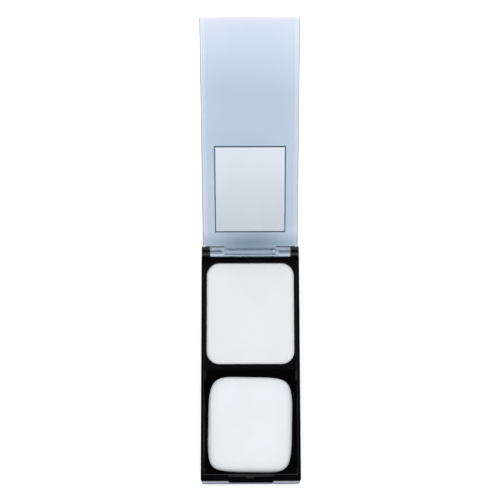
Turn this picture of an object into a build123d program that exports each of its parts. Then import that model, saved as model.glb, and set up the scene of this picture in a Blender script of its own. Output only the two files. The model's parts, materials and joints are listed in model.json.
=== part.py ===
"""Slim hinged compact palette, open: a black two-bay tray in a clear shell, and a clear lid with a mirror.

Units are millimetres. X is the width, +Y points to the hinge side, +Z is up, and the origin is the middle of
the underside. Distances named REACH are measured forwards from the hinge axis.
"""
from build123d import *
import os

# Overall size
BASE_WIDTH = 50.2
LID_WIDTH = 48.3
FRONT_REACH = 117.5
REAR_REACH = -2.85
BASE_HEIGHT = 9.6
LID_HEIGHT = 4.4
OPEN_ANGLE = 155.4
SEAT_GAP = 0.15

# Hinge
BARREL_RADIUS = 2.7
BARREL_GAP = 0.2
EAR_OUTER = 24.8
EAR_INNER = 20.55
EAR_EDGE_ROUND = 0.45
EAR_FOOT_REAR_REACH = -2.2
KNUCKLE_INNER = 13.25
LID_CORNER_GAP = 0.12
PIN_RADIUS = 0.75
PIN_LENGTH = 9.6
PIN_RECESS = 0.5
PIN_PRESS = 0.01
PIN_RUNNING_GAP = 0.05
BORE_END_GAP = 0.3
NOTCH_REACH = 2.45
STOP_GAP = 0.03
STOP_LENGTH = 6.0
STOP_END_GAP = 0.15
STOP_INNER = 14.2
STOP_TOP = 9.7

HINGE_Y = (FRONT_REACH + REAR_REACH) / 2
HINGE_Z = BASE_HEIGHT + LID_HEIGHT - BARREL_RADIUS
BARREL_END = EAR_INNER - SEAT_GAP
RIM_BELOW_AXIS = HINGE_Z - BASE_HEIGHT

# Shell
SHELL_HALF = 24.7
SHELL_WALL = 0.9
SHELL_FLOOR = 1.2
SHELL_TOP = 7.3
SHELL_REAR_REACH = -2.45
SHELL_CORNER = 1.2
SHELL_BOTTOM_ROUND = 0.3
LEDGE_TOP = 6.6
FIT_GAP = 0.1

# Tray
TRAY_FRONT_REACH = 115.7
RIM_BOTTOM = SHELL_TOP + FIT_GAP
RIM_CORNER = 0.8
SKIRT_HALF = SHELL_HALF - SHELL_WALL - FIT_GAP
SKIRT_REAR_REACH = SHELL_REAR_REACH + SHELL_WALL + FIT_GAP
TRAY_WALL = 1.0
BAY_HALF = SKIRT_HALF - TRAY_WALL
WELL_MOUTH_HALF = 23.6
WELL_SLOPE_BOTTOM = 6.5
WELL_REAR_REACH = 60.15
WELL_FRONT_REACH = 112.2
WELL_FLOOR = SHELL_FLOOR + TRAY_WALL
FRONT_EDGE_CHAMFER = 0.35
RIM_EDGE_CHAMFER = 0.12

# Pan bay, frame plate, pan and cake
FRAME_SEAT = 8.0
FRAME_TOP = 9.3
FRAME_REAR_REACH = 4.4
FRAME_FIT = 0.08
FRAME_CORNER = 0.9
OPENING_WIDTH = 44.7
OPENING_LENGTH = 51.6
OPENING_RADIUS = 6.5
OPENING_REACH = 31.75
OPENING_CHAMFER = 0.25
PAN_BAY_FLOOR = 5.2
PAN_FIT = 0.1
PAN_SHEET = 0.35
PAN_TOP = 9.0
PAD_THICKNESS = 0.2
PAD_SHARE = 0.7
CAKE_TOP = 8.9
CAKE_BEVEL_WIDTH = 2.4
CAKE_BEVEL_DROP = 0.35

# Front catch
CATCH_HALF = 11.3
CATCH_WALL_REACH = 113.5
CATCH_SLOPE_DROP = 0.75
TONGUE_REACH = 116.7
TONGUE_TOP = 7.5
TONGUE_CHAMFER = 0.5
TONGUE_UNDER_GAP = 0.05
BASE_NUB_REACH = 114.3
BASE_NUB_ROOT_HALF = 2.35
BASE_NUB_TIP_HALF = 1.4
BASE_NUB_BOTTOM = 8.55
LID_NUB_HALF = 3.85
LID_NUB_REACH = 114.4
LID_NUB_BOTTOM = 7.85

# Lid
LID_PLATE = 1.4
LID_SIDE_WALL = 1.3
LID_FRONT_WALL = 1.65
LID_CORNER = 0.4
LID_TOP_ROUND = 0.35
LID_INNER_ROUND = 0.6
LID_CORNER_REACH = 1.95
GUSSET_INNER = 10.7
GUSSET_REACH = 2.5
GUSSET_DROP = 2.0
BAR_INNER_REACH = 0.3
BAR_TIP_REACH = -1.1

# Mirror
MIRROR_REACH_NEAR = 9.9
MIRROR_REACH_FAR = 54.5
MIRROR_PAD_WIDTH = 36.0
MIRROR_PAD_THICKNESS = 0.5
MIRROR_BORDER = 0.6
MIRROR_SHIFT = 0.15
MIRROR_THICKNESS = 1.3
MIRROR_BEVEL = 0.25

# Sponge
SPONGE_WIDTH = 43.0
SPONGE_LENGTH = 48.0
SPONGE_HEIGHT = 7.6
SPONGE_REACH = 87.9
SPONGE_CORNER = 8.5
SPONGE_BULGE = 0.6
SPONGE_EDGE_ROUND = 2.6
SPONGE_TURN = -1.5
SPONGE_ASIDE = -0.35


def block(half_width, near, far, bottom, top, hinge_frame=False):
    """A box symmetric in X, between two reaches and two heights."""
    axis_y = 0.0 if hinge_frame else HINGE_Y
    centre = Pos(0, axis_y - (near + far) / 2, (bottom + top) / 2)
    return centre * Box(2 * half_width, far - near, top - bottom)


def rounded_block(half_width, near, far, bottom, top, radius, hinge_frame=False):
    """The same box with rounded vertical corners."""
    axis_y = 0.0 if hinge_frame else HINGE_Y
    outline = RectangleRounded(2 * half_width, far - near, radius)
    return extrude(Pos(0, axis_y - (near + far) / 2, bottom) * outline, top - bottom)


def cross_bar(radius, x_low, x_high, y=0.0, z=0.0):
    """A round bar along X."""
    middle = Pos((x_low + x_high) / 2, y, z)
    return middle * Rot(0, 90, 0) * Cylinder(radius, x_high - x_low)


def prism(points, bottom, top):
    """A plan outline of X, Y points, extruded in Z."""
    outline = make_face(Polyline(*points, close=True))
    return extrude(Pos(0, 0, bottom) * outline, top - bottom)


def make_bottom_shell():
    shell = rounded_block(SHELL_HALF, SHELL_REAR_REACH, FRONT_REACH, 0, SHELL_TOP, SHELL_CORNER)
    shell = fillet(shell.faces().sort_by(Axis.Z)[0].edges(), SHELL_BOTTOM_ROUND)
    hollow_front = TRAY_FRONT_REACH + FIT_GAP
    hollow_half = SHELL_HALF - SHELL_WALL
    shell -= block(hollow_half, hollow_rear_reach(), hollow_front, SHELL_FLOOR, SHELL_TOP)
    shell -= block(BASE_WIDTH, TRAY_FRONT_REACH - FIT_GAP, FRONT_REACH, LEDGE_TOP, SHELL_TOP)
    return shell + make_lid_stops()


def make_lid_stops():
    """Two stops on the shell's rear wall, hollowed for the barrel and sloped to meet the open lid."""
    half = EAR_INNER - STOP_END_GAP
    stops = block(half, REAR_REACH, hollow_rear_reach(), RIM_BOTTOM, STOP_TOP)
    stops += block(half, SHELL_REAR_REACH, hollow_rear_reach(), SHELL_FLOOR, RIM_BOTTOM)
    stops -= block(STOP_INNER, REAR_REACH, hollow_rear_reach(), SHELL_TOP, STOP_TOP)
    stops -= cross_bar(BARREL_RADIUS + BARREL_GAP, -EAR_INNER, EAR_INNER, HINGE_Y, HINGE_Z)
    back = block(EAR_INNER, 0, STOP_LENGTH, 0, BARREL_RADIUS + STOP_GAP, hinge_frame=True)
    return stops - open_lid(back)


def hollow_rear_reach():
    return SHELL_REAR_REACH + SHELL_WALL


def make_ear(side):
    """One hinge ear: a round head on a short block, with the pin's bore."""
    inner, outer = sorted((side * EAR_INNER, side * EAR_OUTER))
    head = cross_bar(BARREL_RADIUS, inner, outer, HINGE_Y, HINGE_Z)
    end_face = head.faces().sort_by(Axis.X)[-1 if side > 0 else 0]
    head = fillet(end_face.edges(), EAR_EDGE_ROUND)
    foot_height = HINGE_Z - RIM_BOTTOM
    foot_length = BARREL_RADIUS - EAR_FOOT_REAR_REACH
    foot_y = HINGE_Y - (BARREL_RADIUS + EAR_FOOT_REAR_REACH) / 2
    foot_centre = Pos((inner + outer) / 2, foot_y, HINGE_Z - foot_height / 2)
    foot = foot_centre * Box(outer - inner, foot_length, foot_height)
    bore = cross_bar(PIN_RADIUS - PIN_PRESS, inner, outer, HINGE_Y, HINGE_Z)
    return head + foot - bore


def make_well_cutter():
    """The sponge well: a wide mouth that slopes in to straight walls."""
    profile = Polyline(
        (-WELL_MOUTH_HALF, BASE_HEIGHT),
        (-BAY_HALF, WELL_SLOPE_BOTTOM),
        (-BAY_HALF, WELL_FLOOR),
        (BAY_HALF, WELL_FLOOR),
        (BAY_HALF, WELL_SLOPE_BOTTOM),
        (WELL_MOUTH_HALF, BASE_HEIGHT),
        close=True,
    )
    length = WELL_FRONT_REACH - WELL_REAR_REACH
    section = Plane.XZ * make_face(profile)
    return Pos(0, HINGE_Y - WELL_REAR_REACH, 0) * extrude(section, length)


def make_mouth_chamfer():
    """Bevels both long edges of the opening, past the frame plate and the well."""
    low = BASE_HEIGHT - RIM_EDGE_CHAMFER
    wide = WELL_MOUTH_HALF + RIM_EDGE_CHAMFER
    profile = Polyline(
        (-wide, BASE_HEIGHT), (-WELL_MOUTH_HALF, low), (WELL_MOUTH_HALF, low), (wide, BASE_HEIGHT), close=True
    )
    section = Plane.XZ * make_face(profile)
    return Pos(0, HINGE_Y - FRAME_REAR_REACH, 0) * extrude(section, WELL_FRONT_REACH - FRAME_REAR_REACH)


def make_base_nub():
    root_y = HINGE_Y - CATCH_WALL_REACH
    tip_y = HINGE_Y - BASE_NUB_REACH
    points = [
        (-BASE_NUB_ROOT_HALF, root_y),
        (BASE_NUB_ROOT_HALF, root_y),
        (BASE_NUB_TIP_HALF, tip_y),
        (-BASE_NUB_TIP_HALF, tip_y),
    ]
    return prism(points, BASE_NUB_BOTTOM, BASE_HEIGHT)


def make_tongue():
    """The low tongue in front of the catch recess, with its front corners cut off."""
    root_y = HINGE_Y - TRAY_FRONT_REACH
    tip_y = HINGE_Y - TONGUE_REACH
    points = [
        (-CATCH_HALF, root_y),
        (CATCH_HALF, root_y),
        (CATCH_HALF, tip_y + TONGUE_CHAMFER),
        (CATCH_HALF - TONGUE_CHAMFER, tip_y),
        (-CATCH_HALF + TONGUE_CHAMFER, tip_y),
        (-CATCH_HALF, tip_y + TONGUE_CHAMFER),
    ]
    return prism(points, LEDGE_TOP + TONGUE_UNDER_GAP, TONGUE_TOP)


def make_base_tray():
    rim = rounded_block(
        BASE_WIDTH / 2, REAR_REACH, TRAY_FRONT_REACH, RIM_BOTTOM, BASE_HEIGHT, RIM_CORNER
    )
    skirt = block(SKIRT_HALF, SKIRT_REAR_REACH, TRAY_FRONT_REACH, SHELL_FLOOR, RIM_BOTTOM)
    tray = rim + skirt
    pan_bay_front = WELL_REAR_REACH - TRAY_WALL
    tray -= block(BAY_HALF, FRAME_REAR_REACH, pan_bay_front, PAN_BAY_FLOOR, BASE_HEIGHT)
    tray -= block(WELL_MOUTH_HALF, FRAME_REAR_REACH, WELL_REAR_REACH, FRAME_SEAT, BASE_HEIGHT)
    tray -= make_well_cutter()
    tray -= make_mouth_chamfer()
    tray -= block(EAR_INNER, REAR_REACH, NOTCH_REACH, SHELL_FLOOR, BASE_HEIGHT)
    under_bay = PAN_BAY_FLOOR - TRAY_WALL
    tray -= block(BAY_HALF, FRAME_REAR_REACH, pan_bay_front, SHELL_FLOOR, under_bay)
    tray -= block(CATCH_HALF, CATCH_WALL_REACH, TRAY_FRONT_REACH, TONGUE_TOP, BASE_HEIGHT)
    tray = chamfer(nearest_edge(tray, Axis.X, 0, -WELL_FRONT_REACH), FRONT_EDGE_CHAMFER)
    for side in (-1, 1):
        rim_edge = nearest_edge(tray, Axis.Y, side * BASE_WIDTH / 2, -OPENING_REACH)
        tray = chamfer(rim_edge, RIM_EDGE_CHAMFER)
    tray = tray + make_base_nub() - make_catch_slope()
    return tray + make_tongue() + make_ear(-1) + make_ear(1)


def nearest_edge(solid, direction, x, ahead):
    """The straight rim edge along one axis that lies nearest to a point on the rim."""
    place = (x, HINGE_Y + ahead, BASE_HEIGHT)
    return solid.edges().filter_by(direction).sort_by_distance(place)[0]


def make_catch_slope():
    """The wedge that slopes the catch wall and its nub down towards the front."""
    rear_y = HINGE_Y - WELL_FRONT_REACH
    front_y = HINGE_Y - BASE_NUB_REACH
    low = BASE_HEIGHT - CATCH_SLOPE_DROP
    profile = Polyline((rear_y, BASE_HEIGHT), (front_y, BASE_HEIGHT), (front_y, low), close=True)
    return extrude(Plane.YZ * make_face(profile), CATCH_HALF, both=True)


def make_opening(grow=0.0):
    """The rounded outline that the frame, the pan and the cake share."""
    outline = RectangleRounded(
        OPENING_WIDTH + 2 * grow, OPENING_LENGTH + 2 * grow, OPENING_RADIUS + grow
    )
    return Pos(0, HINGE_Y - OPENING_REACH, 0) * outline


def make_pan_frame():
    frame = rounded_block(
        WELL_MOUTH_HALF - FRAME_FIT,
        FRAME_REAR_REACH + FRAME_FIT,
        WELL_REAR_REACH,
        FRAME_SEAT,
        FRAME_TOP,
        FRAME_CORNER,
    )
    frame -= extrude(Pos(0, 0, FRAME_SEAT) * make_opening(), FRAME_TOP - FRAME_SEAT)
    top_face = frame.faces().sort_by(Axis.Z)[-1]
    return chamfer(top_face.inner_wires()[0].edges(), OPENING_CHAMFER)


def make_pan():
    bottom = PAN_BAY_FLOOR + PAD_THICKNESS
    outer = extrude(Pos(0, 0, bottom) * make_opening(-PAN_FIT), PAN_TOP - bottom)
    inner_bottom = bottom + PAN_SHEET
    inner = Pos(0, 0, inner_bottom) * make_opening(-PAN_FIT - PAN_SHEET)
    return outer - extrude(inner, PAN_TOP - inner_bottom)


def make_pan_adhesive():
    pad = RectangleRounded(PAD_SHARE * OPENING_WIDTH, PAD_SHARE * OPENING_LENGTH, OPENING_RADIUS)
    return extrude(Pos(0, HINGE_Y - OPENING_REACH, PAN_BAY_FLOOR) * pad, PAD_THICKNESS)


def make_pressed_cake():
    bottom = PAN_BAY_FLOOR + PAD_THICKNESS + PAN_SHEET
    cake = extrude(Pos(0, 0, bottom) * make_opening(-PAN_FIT - PAN_SHEET), CAKE_TOP - bottom)
    top_face = cake.faces().sort_by(Axis.Z)[-1]
    return chamfer(top_face.edges(), CAKE_BEVEL_DROP, CAKE_BEVEL_WIDTH, reference=top_face)


def make_sponge():
    """A foam pad: bulged sides, round corners and round edges."""
    half_w = SPONGE_WIDTH / 2 - SPONGE_BULGE
    half_l = SPONGE_LENGTH / 2 - SPONGE_BULGE
    sides = [
        ThreePointArc((-half_w, -half_l), (0, -half_l - SPONGE_BULGE), (half_w, -half_l)),
        ThreePointArc((half_w, -half_l), (half_w + SPONGE_BULGE, 0), (half_w, half_l)),
        ThreePointArc((half_w, half_l), (0, half_l + SPONGE_BULGE), (-half_w, half_l)),
        ThreePointArc((-half_w, half_l), (-half_w - SPONGE_BULGE, 0), (-half_w, -half_l)),
    ]
    outline = make_face(Wire(sides))
    outline = fillet(outline.vertices(), SPONGE_CORNER)
    pad = extrude(outline, SPONGE_HEIGHT)
    flat_faces = pad.faces().sort_by(Axis.Z)
    pad = fillet(flat_faces[0].edges() + flat_faces[-1].edges(), SPONGE_EDGE_ROUND)
    return Pos(SPONGE_ASIDE, HINGE_Y - SPONGE_REACH, WELL_FLOOR) * Rot(0, 0, SPONGE_TURN) * pad


def open_lid(piece):
    """Carries a piece from the hinge frame, lid closed, to its place with the lid open."""
    return Pos(0, HINGE_Y, HINGE_Z) * Rot(-OPEN_ANGLE, 0, 0) * piece


def make_hinge_bar():
    """The lid's round-backed rear wall, sloped inside, with a full barrel at each end."""
    plate_under = BARREL_RADIUS - LID_PLATE
    profile = Polyline(
        (-BAR_INNER_REACH, BARREL_RADIUS),
        (-BAR_INNER_REACH, plate_under),
        (-BAR_TIP_REACH, -BARREL_RADIUS),
        (-BARREL_RADIUS, -BARREL_RADIUS),
        (-BARREL_RADIUS, BARREL_RADIUS),
        close=True,
    )
    inside = extrude(Plane.YZ * make_face(profile), KNUCKLE_INNER, both=True)
    return cross_bar(BARREL_RADIUS, -BARREL_END, BARREL_END) - inside


def make_gusset(side):
    """The sloping web between a knuckle and the bar."""
    plate_under = BARREL_RADIUS - LID_PLATE
    points = [
        (side * KNUCKLE_INNER, -GUSSET_REACH),
        (side * KNUCKLE_INNER, 0),
        (side * GUSSET_INNER, 0),
        (side * GUSSET_INNER, -BAR_INNER_REACH),
    ]
    return prism(points, plate_under - GUSSET_DROP, plate_under)


def make_lid_closed():
    half = LID_WIDTH / 2
    rim_level = -RIM_BELOW_AXIS + SEAT_GAP
    ledge_level = LEDGE_TOP - HINGE_Z + SEAT_GAP
    tab_level = TONGUE_TOP - HINGE_Z + SEAT_GAP
    inside_top = BARREL_RADIUS - LID_PLATE
    front_inner = FRONT_REACH - LID_FRONT_WALL
    lid = rounded_block(
        half, -LID_CORNER, FRONT_REACH, ledge_level, BARREL_RADIUS, LID_CORNER, hinge_frame=True
    )
    lid = fillet(lid.faces().sort_by(Axis.Z)[-1].edges(), LID_TOP_ROUND)
    pocket = block(half - LID_SIDE_WALL, -FRONT_REACH, front_inner, ledge_level, inside_top, hinge_frame=True)
    lid -= fillet(pocket.faces().sort_by(Axis.Z)[-1].edges(), LID_INNER_ROUND)
    lid -= block(half, -FRONT_REACH, front_inner, ledge_level, rim_level, hinge_frame=True)
    tab_half = CATCH_HALF + SEAT_GAP
    lid -= block(tab_half, front_inner, FRONT_REACH, ledge_level, tab_level, hinge_frame=True)
    ear_clearance = BARREL_RADIUS + LID_CORNER_GAP
    lid -= block(half, -FRONT_REACH, LID_CORNER_REACH, ledge_level, BARREL_RADIUS, hinge_frame=True)
    lid -= block(half, -FRONT_REACH, ear_clearance, ledge_level, 0, hinge_frame=True)
    lid -= cross_bar(ear_clearance, -half, half)
    plate = block(BARREL_END, 0, BARREL_RADIUS, inside_top, BARREL_RADIUS, hinge_frame=True)
    nub_bottom = LID_NUB_BOTTOM - HINGE_Z
    nub = block(LID_NUB_HALF, LID_NUB_REACH, front_inner, nub_bottom, inside_top, hinge_frame=True)
    lid += plate + nub + make_hinge_bar() + make_gusset(-1) + make_gusset(1)
    bore_inner = EAR_OUTER - PIN_RECESS - PIN_LENGTH - BORE_END_GAP
    for low, high in ((-BARREL_END, -bore_inner), (bore_inner, BARREL_END)):
        lid -= cross_bar(PIN_RADIUS + PIN_RUNNING_GAP, low, high)
    return lid


def make_mirror_pad():
    top = BARREL_RADIUS - LID_PLATE
    return block(
        MIRROR_PAD_WIDTH / 2, MIRROR_REACH_NEAR, MIRROR_REACH_FAR, top - MIRROR_PAD_THICKNESS, top,
        hinge_frame=True,
    )


def make_mirror_glass():
    """The bevelled glass, set a little towards the lid's tip on its pad."""
    top = BARREL_RADIUS - LID_PLATE - MIRROR_PAD_THICKNESS
    glass = block(
        MIRROR_PAD_WIDTH / 2 - MIRROR_BORDER,
        MIRROR_REACH_NEAR + MIRROR_BORDER + MIRROR_SHIFT,
        MIRROR_REACH_FAR - MIRROR_BORDER + MIRROR_SHIFT,
        top - MIRROR_THICKNESS,
        top,
        hinge_frame=True,
    )
    return chamfer(glass.faces().sort_by(Axis.Z)[0].edges(), MIRROR_BEVEL)


def make_hinge_pins():
    """Two short pins, one through each ear into the knuckle beside it."""
    outer = EAR_OUTER - PIN_RECESS
    inner = outer - PIN_LENGTH
    left = cross_bar(PIN_RADIUS, -outer, -inner, HINGE_Y, HINGE_Z)
    right = cross_bar(PIN_RADIUS, inner, outer, HINGE_Y, HINGE_Z)
    return Compound([left, right])


def main():
    pieces = {
        "bottom_shell": make_bottom_shell(),
        "base_tray": make_base_tray(),
        "pan_frame": make_pan_frame(),
        "pan": make_pan(),
        "pan_adhesive": make_pan_adhesive(),
        "pressed_cake": make_pressed_cake(),
        "sponge": make_sponge(),
        "hinge_pins": make_hinge_pins(),
        "lid": open_lid(make_lid_closed()),
        "mirror_pad": open_lid(make_mirror_pad()),
        "mirror_glass": open_lid(make_mirror_glass()),
    }
    os.makedirs("parts", exist_ok=True)
    for name, piece in pieces.items():
        export_step(piece, f"parts/{name}.step")


main()
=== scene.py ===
"""Looks for the hinged compact palette: a black two-bay base, a clear blue lid with a mirror, a white cake
and a foam sponge. Lengths are in metres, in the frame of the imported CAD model."""
import json
import math

import bmesh
import bpy
from mathutils import Matrix, Vector, noise


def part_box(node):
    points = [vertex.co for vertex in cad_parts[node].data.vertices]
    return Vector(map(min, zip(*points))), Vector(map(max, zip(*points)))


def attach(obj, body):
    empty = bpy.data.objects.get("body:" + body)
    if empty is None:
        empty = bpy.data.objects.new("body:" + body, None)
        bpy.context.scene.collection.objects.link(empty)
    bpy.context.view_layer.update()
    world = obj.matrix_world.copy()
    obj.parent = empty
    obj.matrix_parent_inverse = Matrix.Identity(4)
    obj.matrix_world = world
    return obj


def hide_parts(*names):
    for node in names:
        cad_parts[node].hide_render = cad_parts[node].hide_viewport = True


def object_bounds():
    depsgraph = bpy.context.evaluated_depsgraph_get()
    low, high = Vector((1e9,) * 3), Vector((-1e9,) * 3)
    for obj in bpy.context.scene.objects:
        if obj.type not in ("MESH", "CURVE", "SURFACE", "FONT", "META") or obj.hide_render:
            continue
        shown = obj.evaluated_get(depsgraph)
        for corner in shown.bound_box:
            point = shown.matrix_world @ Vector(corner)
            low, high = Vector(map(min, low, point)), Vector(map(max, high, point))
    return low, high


MM = 0.001

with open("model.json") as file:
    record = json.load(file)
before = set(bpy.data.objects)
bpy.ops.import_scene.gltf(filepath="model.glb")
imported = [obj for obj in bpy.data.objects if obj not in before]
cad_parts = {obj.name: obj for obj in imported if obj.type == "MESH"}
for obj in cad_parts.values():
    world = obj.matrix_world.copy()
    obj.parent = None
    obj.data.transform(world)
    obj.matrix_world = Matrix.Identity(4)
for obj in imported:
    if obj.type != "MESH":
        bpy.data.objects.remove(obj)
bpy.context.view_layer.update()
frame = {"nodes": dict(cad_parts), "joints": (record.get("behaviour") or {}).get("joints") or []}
joint = frame["joints"][0]
HINGE = Vector(joint["pos_m"])
NODES = frame["nodes"]

# Camera
CAMERA_ELEVATION = math.radians(82.06)
CAMERA_DISTANCE = 513.9 * MM
CAMERA_LENS = 72.0
CAMERA_SENSOR = 36.0
CAMERA_NEAR = 10 * MM
CAMERA_ROLL = math.radians(-0.145)
CAMERA_TARGET_LIFT = 0.67 * MM
CAMERA_TARGET_ASIDE = -0.13 * MM

# Stage
FLOOR_SIZE = 3.0
FLOOR_GAP = 0.2 * MM
FLOOR_GREY = 0.8
FLOOR_ROUGHNESS = 0.9
FLOOR_GLOW = 0.50

# Most of a noise texture lies between these values
NOISE_LOW = 0.35
NOISE_HIGH = 0.65


def new_material(name):
    """An empty node material with its output and one Principled shader."""
    material = bpy.data.materials.new(name)
    material.use_nodes = True
    tree = material.node_tree
    tree.nodes.clear()
    output = tree.nodes.new("ShaderNodeOutputMaterial")
    shader = tree.nodes.new("ShaderNodeBsdfPrincipled")
    tree.links.new(shader.outputs["BSDF"], output.inputs["Surface"])
    return material, tree, shader, output


def object_noise(tree, scale, detail, roughness=0.55, stretch=(1, 1, 1)):
    """Noise in the object's own coordinates. The scale counts features per metre."""
    coordinates = tree.nodes.new("ShaderNodeTexCoord")
    mapping = tree.nodes.new("ShaderNodeMapping")
    mapping.inputs["Scale"].default_value = stretch
    texture = tree.nodes.new("ShaderNodeTexNoise")
    texture.inputs["Scale"].default_value = scale
    texture.inputs["Detail"].default_value = detail
    texture.inputs["Roughness"].default_value = roughness
    tree.links.new(coordinates.outputs["Object"], mapping.inputs["Vector"])
    tree.links.new(mapping.outputs["Vector"], texture.inputs["Vector"])
    return texture.outputs["Fac"]


def remap(tree, value, low, high, from_low=NOISE_LOW, from_high=NOISE_HIGH, easing="LINEAR"):
    """Stretches a value to run from low to high. Its own range is noise's unless it is given."""
    node = tree.nodes.new("ShaderNodeMapRange")
    node.interpolation_type = easing
    node.inputs["From Min"].default_value = from_low
    node.inputs["From Max"].default_value = from_high
    node.inputs["To Min"].default_value = low
    node.inputs["To Max"].default_value = high
    tree.links.new(value, node.inputs["Value"])
    return node.outputs["Result"]


def multiply(tree, first, second):
    """The product of two values."""
    node = tree.nodes.new("ShaderNodeMath")
    node.operation = "MULTIPLY"
    tree.links.new(first, node.inputs[0])
    tree.links.new(second, node.inputs[1])
    return node.outputs["Value"]


def mix_colours(tree, factor, first, second):
    """Blends two colours, each a tuple or a socket."""
    node = tree.nodes.new("ShaderNodeMix")
    node.data_type = "RGBA"
    tree.links.new(factor, node.inputs["Factor"])
    for socket, colour in ((node.inputs["A"], first), (node.inputs["B"], second)):
        if isinstance(colour, tuple):
            socket.default_value = (*colour, 1.0)
        else:
            tree.links.new(colour, socket)
    return node.outputs["Result"]


def add_bump(tree, shader, height, distance, strength=1.0):
    """Raises the surface by a height value, at most distance metres."""
    bump = tree.nodes.new("ShaderNodeBump")
    bump.inputs["Strength"].default_value = strength
    bump.inputs["Distance"].default_value = distance
    tree.links.new(height, bump.inputs["Height"])
    tree.links.new(bump.outputs["Normal"], shader.inputs["Normal"])


# Black plastic
TRAY_BLACK = (0.0011, 0.0011, 0.0016)
FRAME_BLACK = (0.0016, 0.0016, 0.0022)
BLACK_PATCH_LIFT = 1.6
BLACK_GRAIN_HEIGHT = 0.002 * MM
BLACK_IOR = 1.46


def black_plastic(name, colour, low_rough, high_rough):
    """Glossy moulded black plastic with faint handling marks."""
    material, tree, shader, _ = new_material(name)
    patches = object_noise(tree, scale=90, detail=5)
    lighter = tuple(c * BLACK_PATCH_LIFT for c in colour)
    tint = mix_colours(tree, remap(tree, patches, 0, 1), colour, lighter)
    tree.links.new(tint, shader.inputs["Base Color"])
    smears = object_noise(tree, scale=240, detail=6, roughness=0.65, stretch=(1.0, 0.35, 1.0))
    tree.links.new(remap(tree, smears, low_rough, high_rough), shader.inputs["Roughness"])
    add_bump(tree, shader, object_noise(tree, scale=900, detail=3), BLACK_GRAIN_HEIGHT, strength=0.4)
    shader.inputs["IOR"].default_value = BLACK_IOR
    return material


def colour_ramp(tree, value, stops):
    """Turns a 0 to 1 value into a colour. stops are (share, colour) pairs."""
    node = tree.nodes.new("ShaderNodeValToRGB")
    elements = node.color_ramp.elements
    while len(elements) < len(stops):
        elements.new(0.5)
    for element, (share, colour) in zip(elements, stops):
        element.position = share
        element.color = (*colour, 1.0)
    tree.links.new(value, node.inputs["Fac"])
    return node.outputs["Color"]


def grey_ramp(tree, value, stops):
    """Turns a 0 to 1 value into a level. stops are (share, level) pairs."""
    return colour_ramp(tree, value, [(share, (level, level, level)) for share, level in stops])


def place_shares(tree, low, high):
    """How far a point is along Y, from low to high, and from the middle line out to the side."""
    coordinates = tree.nodes.new("ShaderNodeTexCoord")
    split = tree.nodes.new("ShaderNodeSeparateXYZ")
    tree.links.new(coordinates.outputs["Object"], split.inputs["Vector"])
    along = remap(tree, split.outputs["Y"], 0, 1, low.y, high.y)
    distance = tree.nodes.new("ShaderNodeMath")
    distance.operation = "ABSOLUTE"
    tree.links.new(split.outputs["X"], distance.inputs[0])
    aside = remap(tree, distance.outputs["Value"], 0, 1, 0, high.x)
    return along, aside


# Tint of the lid from the hinge to the tip, with painted light and shade: its pale hinge bar and paler tip
# are painted light, its paler sides are painted light, the deeper tint by the hinge's middle is painted
# shade, and the pale knuckles are painted light
LID_TINTS_AND_PAINTED_LIGHT = (
    (0.00, (0.62, 0.72, 0.81)),
    (0.03, (0.84, 0.91, 0.97)),
    (0.034, (0.50, 0.60, 0.72)),
    (0.16, (0.44, 0.53, 0.645)),
    (0.33, (0.435, 0.53, 0.65)),
    (0.50, (0.395, 0.485, 0.605)),
    (0.70, (0.38, 0.47, 0.58)),
    (0.84, (0.46, 0.56, 0.66)),
    (0.970, (0.575, 0.635, 0.74)),
    (0.984, (0.59, 0.645, 0.755)),
    (0.988, (0.69, 0.70, 0.76)),
    (1.00, (0.71, 0.72, 0.78)),
)
# Paler sides: painted light, as if light came in through the lid's side walls.
LID_SIDE_PAINTED_LIGHT = (0.85, 0.90, 0.96)
LID_SIDE_PAINTED_LIGHT_LEVELS = (
    (0.00, 0.00),
    (0.40, 0.01),
    (0.90, 0.09),
    (0.945, 0.26),
    (1.00, 0.26),
)
# Dark pool just above the hinge's middle: painted shade of the floor shadowed under the lid, with its
# spread along and across the lid.
HINGE_PAINTED_SHADE = (0.24, 0.34, 0.44)
HINGE_PAINTED_SHADE_ALONG = (
    (0.031, 0.0),
    (0.034, 0.8),
    (0.070, 1.0),
    (0.118, 0.0),
)
HINGE_PAINTED_SHADE_ASIDE = (
    (0.00, 1.0),
    (0.25, 0.95),
    (0.65, 0.60),
    (1.00, 0.50),
)
# Pale knuckles: painted light that lifts the hinge barrels.
KNUCKLE_PAINTED_LIGHT = (0.72, 0.81, 0.89)
KNUCKLE_PAINTED_LIGHT_ALONG = (
    (0.045, 1.0),
    (0.052, 0.0),
)
KNUCKLE_PAINTED_LIGHT_ASIDE = (
    (0.54, 0.0),
    (0.56, 1.0),
)
SHELL_TINTS = (
    (0.00, (0.50, 0.53, 0.62)),
    (1.00, (0.74, 0.78, 0.84)),
)
CLEAR_IOR = 1.45
CLEAR_CLOUD = 0.04
CLEAR_SMOOTHEST = 0.02
CLEAR_ROUGHEST = 0.07


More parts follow.
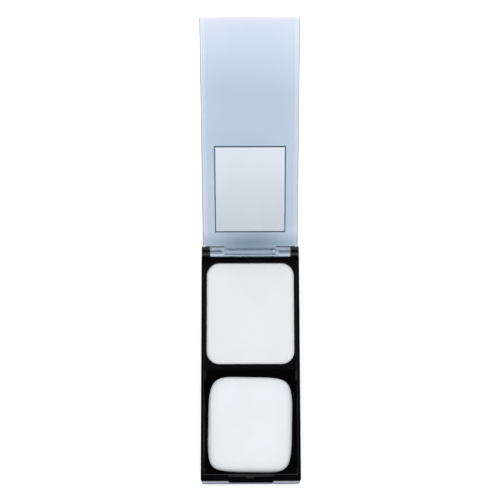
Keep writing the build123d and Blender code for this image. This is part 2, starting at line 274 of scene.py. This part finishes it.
def lid_tint_and_painted_light(tree, low, high):
    """Cool blue tint; paler towards the tip, the sides and the knuckles as painted light, and deepest just
    above the hinge as painted shade.
    """
    along, aside = place_shares(tree, low, high)
    # Blue tint with painted light: the pale hinge bar and the paler tip.
    tint = colour_ramp(tree, along, LID_TINTS_AND_PAINTED_LIGHT)
    # Painted light on the sides of the lid.
    tint = mix_colours(tree, grey_ramp(tree, aside, LID_SIDE_PAINTED_LIGHT_LEVELS), tint, LID_SIDE_PAINTED_LIGHT)
    # Painted shade: the dark pool above the hinge's middle.
    hinge_painted_shade = multiply(tree, grey_ramp(tree, along, HINGE_PAINTED_SHADE_ALONG), grey_ramp(tree, aside, HINGE_PAINTED_SHADE_ASIDE))
    tint = mix_colours(tree, hinge_painted_shade, tint, HINGE_PAINTED_SHADE)
    # Painted light on the knuckles.
    painted_knuckle_light = multiply(tree, grey_ramp(tree, along, KNUCKLE_PAINTED_LIGHT_ALONG), grey_ramp(tree, aside, KNUCKLE_PAINTED_LIGHT_ASIDE))
    return mix_colours(tree, painted_knuckle_light, tint, KNUCKLE_PAINTED_LIGHT)


def shell_tint(tree, low, high):
    """Cool grey, deeper at the front edge."""
    along, _ = place_shares(tree, low, high)
    return colour_ramp(tree, along, SHELL_TINTS)


def clear_plastic(name, make_tint_and_painted_light, low, high):
    """Clear tinted plastic that lamps shine through. For the lid its colour also holds painted light and
    shade.
    """
    material, tree, shader, output = new_material(name)
    cloud = remap(tree, object_noise(tree, scale=30, detail=2), 0, CLEAR_CLOUD)
    # For the lid this colour holds painted light and shade as well as the tint.
    tint = mix_colours(tree, cloud, make_tint_and_painted_light(tree, low, high), (1.0, 1.0, 1.0))
    tree.links.new(tint, shader.inputs["Base Color"])
    shader.inputs["Transmission Weight"].default_value = 1.0
    shader.inputs["IOR"].default_value = CLEAR_IOR
    smears = object_noise(tree, scale=160, detail=5, roughness=0.6, stretch=(1.0, 0.5, 1.0))
    tree.links.new(remap(tree, smears, CLEAR_SMOOTHEST, CLEAR_ROUGHEST), shader.inputs["Roughness"])
    see_through = tree.nodes.new("ShaderNodeBsdfTransparent")
    tree.links.new(tint, see_through.inputs["Color"])
    path = tree.nodes.new("ShaderNodeLightPath")
    blend = tree.nodes.new("ShaderNodeMixShader")
    tree.links.new(path.outputs["Is Shadow Ray"], blend.inputs["Fac"])
    tree.links.new(shader.outputs["BSDF"], blend.inputs[1])
    tree.links.new(see_through.outputs["BSDF"], blend.inputs[2])
    tree.links.new(blend.outputs["Shader"], output.inputs["Surface"])
    return material


# Metal and the mirror
PAN_METAL = (0.95, 0.955, 0.965)
PIN_METAL = (0.60, 0.61, 0.63)
METAL_LINE_SHADE = 0.86
METAL_LINE_HEIGHT = 0.003 * MM
MIRROR_DULL = (0.79, 0.865, 0.95)
MIRROR_CLEAN = (0.81, 0.885, 0.97)
MIRROR_SMOOTHEST = 0.015
MIRROR_ROUGHEST = 0.05


def metal(name, colour, low_rough, high_rough, stretch, scale):
    """Bare metal with fine drawn lines along one direction."""
    material, tree, shader, _ = new_material(name)
    lines = object_noise(tree, scale, detail=4, roughness=0.6, stretch=stretch)
    darker = tuple(c * METAL_LINE_SHADE for c in colour)
    tint = mix_colours(tree, remap(tree, lines, 0, 1), darker, colour)
    tree.links.new(tint, shader.inputs["Base Color"])
    tree.links.new(remap(tree, lines, low_rough, high_rough), shader.inputs["Roughness"])
    shader.inputs["Metallic"].default_value = 1.0
    add_bump(tree, shader, lines, METAL_LINE_HEIGHT, strength=0.4)
    return material


def mirror_material():
    """Silvered glass with a few faint smears."""
    material, tree, shader, _ = new_material("mirror_silver")
    smears = object_noise(tree, scale=70, detail=6, roughness=0.6, stretch=(1.0, 0.6, 1.0))
    tint = mix_colours(tree, remap(tree, smears, 0, 1), MIRROR_DULL, MIRROR_CLEAN)
    tree.links.new(tint, shader.inputs["Base Color"])
    tree.links.new(remap(tree, smears, MIRROR_SMOOTHEST, MIRROR_ROUGHEST), shader.inputs["Roughness"])
    shader.inputs["Metallic"].default_value = 1.0
    return material


# Matt surfaces
MIRROR_BACKING = (0.075, 0.098, 0.13)
PAN_GLUE = (0.80, 0.78, 0.72)
CAKE_POWDER = (0.827, 0.834, 0.848)
MATT_SMOOTHEST = 0.78
MATT_ROUGHEST = 0.95
MATT_SPECULAR = 0.25


def matt_material(name, colour, variation, grain_scale, grain_depth):
    """A matt surface with soft blotches and a fine grain."""
    material, tree, shader, _ = new_material(name)
    darker = tuple(c * (1 - variation) for c in colour)
    blotches = object_noise(tree, scale=60, detail=4)
    tint = mix_colours(tree, remap(tree, blotches, 0, 1), darker, colour)
    tree.links.new(tint, shader.inputs["Base Color"])
    grain = object_noise(tree, grain_scale, detail=5, roughness=0.7)
    tree.links.new(remap(tree, grain, MATT_SMOOTHEST, MATT_ROUGHEST), shader.inputs["Roughness"])
    add_bump(tree, shader, grain, grain_depth)
    shader.inputs["Specular IOR Level"].default_value = MATT_SPECULAR
    return material


# Foam
FOAM_GRAINS_PER_METRE = 2200
FOAM_GAP_DEPTH = 0.05 * MM
FOAM_SHADE = (0.81, 0.85, 0.875)
FOAM_WHITE = (0.83, 0.875, 0.90)
# Painted shade in the gaps between the foam's grains: its colour and how strongly it is mixed in.
FOAM_GAP_PAINTED_SHADE = (0.72, 0.745, 0.77)
FOAM_PAINTED_SHADE_SHARE = 0.10
FOAM_GAP_START = 0.55
FOAM_GAP_END = 0.9
FOAM_SMOOTHEST = 0.86
FOAM_ROUGHEST = 0.97
FOAM_SPECULAR = 0.15
FOAM_SHEEN = 0.15


def foam_material():
    """Fine open foam: small soft grains, faintly cool white, with painted shade darkening the gaps between
    them.
    """
    material, tree, shader, _ = new_material("foam_white")
    coordinates = tree.nodes.new("ShaderNodeTexCoord")
    grains = tree.nodes.new("ShaderNodeTexVoronoi")
    grains.inputs["Scale"].default_value = FOAM_GRAINS_PER_METRE
    tree.links.new(coordinates.outputs["Object"], grains.inputs["Vector"])
    from_centre = grains.outputs["Distance"]
    blotches = object_noise(tree, scale=80, detail=4)
    soft = mix_colours(tree, remap(tree, blotches, 0, 1), FOAM_SHADE, FOAM_WHITE)
    # Painted shade: the gaps between grains are darkened as if shadowed.
    painted_gap_shade = remap(tree, from_centre, 0.0, FOAM_PAINTED_SHADE_SHARE, FOAM_GAP_START, FOAM_GAP_END)
    tint = mix_colours(tree, painted_gap_shade, soft, FOAM_GAP_PAINTED_SHADE)
    tree.links.new(tint, shader.inputs["Base Color"])
    tree.links.new(remap(tree, blotches, FOAM_SMOOTHEST, FOAM_ROUGHEST), shader.inputs["Roughness"])
    add_bump(tree, shader, from_centre, -FOAM_GAP_DEPTH, strength=0.5)
    shader.inputs["Specular IOR Level"].default_value = FOAM_SPECULAR
    shader.inputs["Sheen Weight"].default_value = FOAM_SHEEN
    return material


def assign(node, material):
    """Gives a CAD node its one material."""
    piece = NODES[node]
    piece.data.materials.clear()
    piece.data.materials.append(material)


def mesh_piece(name, bm, material, body, slot, *replaced):
    """Turns a bmesh into a piece that rides on a body and stands for CAD nodes."""
    mesh = bpy.data.meshes.new(name)
    bm.to_mesh(mesh)
    bm.free()
    piece = bpy.data.objects.new(name, mesh)
    bpy.context.scene.collection.objects.link(piece)
    for polygon in mesh.polygons:
        polygon.use_smooth = True
    mesh.materials.append(material)
    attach(piece, body)
    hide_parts(*replaced)
    return piece


def pillow_outline(angle, half_width, half_length, power):
    """A point on a superellipse: a rounded rectangle with bulged sides."""
    c, s = math.cos(angle), math.sin(angle)
    x = half_width * math.copysign(abs(c) ** (2 / power), c)
    y = half_length * math.copysign(abs(s) ** (2 / power), s)
    return x, y


# Sponge: its outline, its crown and its lumps, which mostly sink below the smooth form
SPONGE_SEGMENTS = 160
SPONGE_RINGS = 36
SPONGE_POWER = 5.2
SPONGE_SQUARE_POWER = 0.6
SPONGE_EDGE_POWER = 2.6
SPONGE_INSET = 0.25 * MM
SPONGE_TURN = math.radians(-1.5)
SPONGE_SOFTNESS = 0.22 * MM
SPONGE_LUMP_SIZE = 9 * MM
SPONGE_LUMP_SINK = 0.5


def make_sponge():
    """A crowned foam pad with slightly uneven faces, round at its middle and squarer at its edge."""
    low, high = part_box("sponge")
    centre = (low + high) / 2
    half_height = (high.z - low.z) / 2
    turn = Matrix.Rotation(SPONGE_TURN, 3, "Z")
    half_width = (high.x - low.x) / 2 - SPONGE_INSET
    half_length = (high.y - low.y) / 2 - SPONGE_INSET
    bm = bmesh.new()
    rings = []
    for step in range(1, SPONGE_RINGS):
        lift = math.pi * (step / SPONGE_RINGS - 0.5)
        reach = abs(math.cos(lift)) ** (2 / SPONGE_EDGE_POWER)
        height = half_height * math.copysign(abs(math.sin(lift)) ** (2 / SPONGE_EDGE_POWER), lift)
        power = 2 + (SPONGE_POWER - 2) * reach ** SPONGE_SQUARE_POWER
        ring = []
        for k in range(SPONGE_SEGMENTS):
            angle = 2 * math.pi * k / SPONGE_SEGMENTS
            x, y = pillow_outline(angle, half_width * reach, half_length * reach, power)
            ring.append(bm.verts.new(Vector((x, y, height))))
        rings.append(ring)
    for lower, upper in zip(rings, rings[1:]):
        for k in range(SPONGE_SEGMENTS):
            after = (k + 1) % SPONGE_SEGMENTS
            bm.faces.new((lower[k], lower[after], upper[after], upper[k]))
    for ring, pole_height in ((rings[0], -half_height), (rings[-1], half_height)):
        pole = bm.verts.new(Vector((0, 0, pole_height)))
        for k in range(SPONGE_SEGMENTS):
            bm.faces.new((ring[k], ring[(k + 1) % SPONGE_SEGMENTS], pole))
    bmesh.ops.recalc_face_normals(bm, faces=bm.faces)
    bm.normal_update()
    for vertex in bm.verts:
        lump = noise.noise(vertex.co / SPONGE_LUMP_SIZE)
        vertex.co += vertex.normal * (lump - SPONGE_LUMP_SINK) * SPONGE_SOFTNESS
        vertex.co = turn @ vertex.co + centre
    piece = mesh_piece("sponge_pad", bm, foam_material(), "base", "foam", "sponge")
    return piece


# Cake: pressed flat, with a soft shoulder that falls to the pan's wall. Its rings crowd towards the edge.
CAKE_SEGMENTS = 192
CAKE_RINGS = 40
CAKE_SHOULDER = 3.2 * MM
CAKE_SHOULDER_DROP = 0.30 * MM
CAKE_FALL_POWER = 3
CAKE_MIDDLE_INSET = 0.97
CAKE_RING_POWER = 1.6
CAKE_UNEVEN = 0.05 * MM
CAKE_LUMP_SIZE = 7 * MM
CAKE_CORNER = 6.05 * MM
CAKE_LEAST_CORNER = 0.05 * MM


def rounded_rectangle(t, half_width, half_length, radius):
    """The point a share t of the way round a rounded rectangle, from the middle of its right side."""
    straight_x = half_width - radius
    straight_y = half_length - radius
    quarter = straight_x + straight_y + radius * math.pi / 2
    side, rest = divmod((t % 1.0) * 4 * quarter, quarter)
    quadrant = int(side) % 4
    if quadrant % 2:
        rest = quarter - rest
    if rest < straight_y:
        x, y = half_width, rest
    elif rest < straight_y + radius * math.pi / 2:
        angle = (rest - straight_y) / radius
        x, y = straight_x + radius * math.cos(angle), straight_y + radius * math.sin(angle)
    else:
        x, y = straight_x - (rest - straight_y - radius * math.pi / 2), half_length
    sign_x = 1 if quadrant in (0, 3) else -1
    sign_y = 1 if quadrant in (0, 1) else -1
    return sign_x * x, sign_y * y


def make_cake():
    """The pressed cake: a closed disc whose top falls away near the pan's wall."""
    low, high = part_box("pressed_cake")
    centre = (low + high) / 2
    half_width = (high.x - low.x) / 2
    half_length = (high.y - low.y) / 2
    bm = bmesh.new()
    rings = []
    for step in range(CAKE_RINGS):
        share = step / (CAKE_RINGS - 1)
        inset = half_width * CAKE_MIDDLE_INSET * (1 - share) ** CAKE_RING_POWER
        fall = max(0.0, 1 - inset / CAKE_SHOULDER)
        height = high.z - CAKE_SHOULDER_DROP * fall ** CAKE_FALL_POWER
        radius = max(CAKE_CORNER - inset, CAKE_LEAST_CORNER)
        ring = []
        for k in range(CAKE_SEGMENTS):
            x, y = rounded_rectangle(k / CAKE_SEGMENTS, half_width - inset, half_length - inset, radius)
            place = Vector((centre.x + x, centre.y + y, height))
            place.z += noise.noise(place / CAKE_LUMP_SIZE) * CAKE_UNEVEN - CAKE_UNEVEN
            ring.append(bm.verts.new(place))
        rings.append(ring)
    bottom = [bm.verts.new(Vector((v.co.x, v.co.y, low.z))) for v in rings[-1]]
    rings.append(bottom)
    for inner, outer in zip(rings, rings[1:]):
        for k in range(CAKE_SEGMENTS):
            after = (k + 1) % CAKE_SEGMENTS
            bm.faces.new((inner[k], outer[k], outer[after], inner[after]))
    bm.faces.new(rings[0])
    bm.faces.new(list(reversed(bottom)))
    bmesh.ops.recalc_face_normals(bm, faces=bm.faces)
    material = matt_material(
        "pressed_powder", CAKE_POWDER, variation=0.03, grain_scale=2600, grain_depth=0.02 * MM
    )
    return mesh_piece("cake_top", bm, material, "base", "cake", "pressed_cake")


def make_floor():
    """A plain pale floor with an even glow, like a light table."""
    low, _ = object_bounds()
    bpy.ops.mesh.primitive_plane_add(size=FLOOR_SIZE, location=(0, 0, low.z - FLOOR_GAP))
    floor = bpy.context.object
    floor.name = "stage_floor"
    material, _, shader, _ = new_material("stage_floor")
    shader.inputs["Base Color"].default_value = (FLOOR_GREY, FLOOR_GREY, FLOOR_GREY, 1)
    shader.inputs["Roughness"].default_value = FLOOR_ROUGHNESS
    shader.inputs["Emission Color"].default_value = (1, 1, 1, 1)
    shader.inputs["Emission Strength"].default_value = FLOOR_GLOW
    floor.data.materials.append(material)


# World: bright all round, dim overhead, and a dimmer patch in front, which the mirror reflects
SKY_BRIGHT = 1.15
SKY_OVERHEAD = 0.04
SKY_EDGE_LOW = 0.80
SKY_EDGE_HIGH = 0.90
PATCH_ELEVATION = math.radians(42.5)
PATCH_REACH = math.radians(16)
PATCH_CORE = math.radians(2)
PATCH_LOSS = 0.42

# Softboxes: one at each side, facing the origin
SOFTBOX_ASIDE = 0.7
SOFTBOX_BACK = 0.1
SOFTBOX_HEIGHT = 0.5
SOFTBOX_SIZE = (0.6, 0.9)
SOFTBOX_LEFT_POWER = 1.6
SOFTBOX_RIGHT_POWER = 1.4


def add_softbox(name, aside, power):
    """A soft rectangular lamp that faces the origin."""
    lamp = bpy.data.lights.new(name, "AREA")
    lamp.shape = "RECTANGLE"
    lamp.size, lamp.size_y = SOFTBOX_SIZE
    lamp.energy = power
    holder = bpy.data.objects.new(name, lamp)
    holder.location = (aside, SOFTBOX_BACK, SOFTBOX_HEIGHT)
    holder.rotation_euler = (-holder.location).to_track_quat("-Z", "Y").to_euler()
    bpy.context.scene.collection.objects.link(holder)


def make_world():
    """A sky that is bright round the object and dim overhead, with one dimmer patch in front."""
    world = bpy.data.worlds.new("studio")
    bpy.context.scene.world = world
    world.use_nodes = True
    tree = world.node_tree
    tree.nodes.clear()
    output = tree.nodes.new("ShaderNodeOutputWorld")
    background = tree.nodes.new("ShaderNodeBackground")
    coordinates = tree.nodes.new("ShaderNodeTexCoord")
    split = tree.nodes.new("ShaderNodeSeparateXYZ")
    tree.links.new(coordinates.outputs["Generated"], split.inputs["Vector"])
    height = split.outputs["Z"]
    level = remap(tree, height, SKY_BRIGHT, SKY_OVERHEAD, SKY_EDGE_LOW, SKY_EDGE_HIGH, "SMOOTHSTEP")
    facing = tree.nodes.new("ShaderNodeVectorMath")
    facing.operation = "DOT_PRODUCT"
    facing.inputs[1].default_value = (0, -math.cos(PATCH_ELEVATION), math.sin(PATCH_ELEVATION))
    tree.links.new(coordinates.outputs["Generated"], facing.inputs[0])
    edge, core = math.cos(PATCH_REACH), math.cos(PATCH_CORE)
    patch = remap(tree, facing.outputs["Value"], 1.0, 1.0 - PATCH_LOSS, edge, core, "SMOOTHSTEP")
    background.inputs["Color"].default_value = (1, 1, 1, 1)
    tree.links.new(multiply(tree, level, patch), background.inputs["Strength"])
    tree.links.new(background.outputs["Background"], output.inputs["Surface"])


def make_camera():
    """The photograph's view: from a little in front of straight above."""
    camera = bpy.data.objects.new("camera", bpy.data.cameras.new("camera"))
    camera.data.lens = CAMERA_LENS
    camera.data.sensor_width = CAMERA_SENSOR
    camera.data.clip_start = CAMERA_NEAR
    target = HINGE + Vector((CAMERA_TARGET_ASIDE, CAMERA_TARGET_LIFT, 0))
    toward = Vector((0, math.cos(CAMERA_ELEVATION), -math.sin(CAMERA_ELEVATION)))
    camera.location = target - toward * CAMERA_DISTANCE
    tilt = Matrix.Rotation(math.pi / 2 - CAMERA_ELEVATION, 4, "X")
    roll = Matrix.Rotation(CAMERA_ROLL, 4, "Z")
    camera.rotation_euler = (tilt @ roll).to_euler()
    bpy.context.scene.collection.objects.link(camera)
    bpy.context.scene.camera = camera


def dress_cad_nodes():
    """Gives a material to each CAD node that no new piece stands for."""
    assign("base_tray", black_plastic("tray_black", TRAY_BLACK, low_rough=0.09, high_rough=0.20))
    assign("pan_frame", black_plastic("frame_black", FRAME_BLACK, low_rough=0.12, high_rough=0.24))
    assign("lid", clear_plastic("lid_clear", lid_tint_and_painted_light, *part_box("lid")))
    assign("bottom_shell", clear_plastic("shell_clear", shell_tint, *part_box("bottom_shell")))
    pan_metal = metal(
        "pan_aluminium", PAN_METAL, low_rough=0.50, high_rough=0.62, stretch=(0.2, 1, 1), scale=700
    )
    assign("pan", pan_metal)
    pin_metal = metal(
        "pin_steel", PIN_METAL, low_rough=0.18, high_rough=0.34, stretch=(0.1, 1, 1), scale=1500
    )
    assign("hinge_pins", pin_metal)
    assign("mirror_glass", mirror_material())
    backing = matt_material(
        "mirror_backing", MIRROR_BACKING, variation=0.12, grain_scale=1500, grain_depth=0.01 * MM
    )
    assign("mirror_pad", backing)
    glue = matt_material("pan_glue", PAN_GLUE, variation=0.08, grain_scale=900, grain_depth=0.02 * MM)
    assign("pan_adhesive", glue)


bpy.context.scene.view_settings.view_transform = "Standard"
make_camera()
make_floor()
make_world()
add_softbox("softbox_left", -SOFTBOX_ASIDE, SOFTBOX_LEFT_POWER)
add_softbox("softbox_right", SOFTBOX_ASIDE, SOFTBOX_RIGHT_POWER)
dress_cad_nodes()
make_sponge()
make_cake()
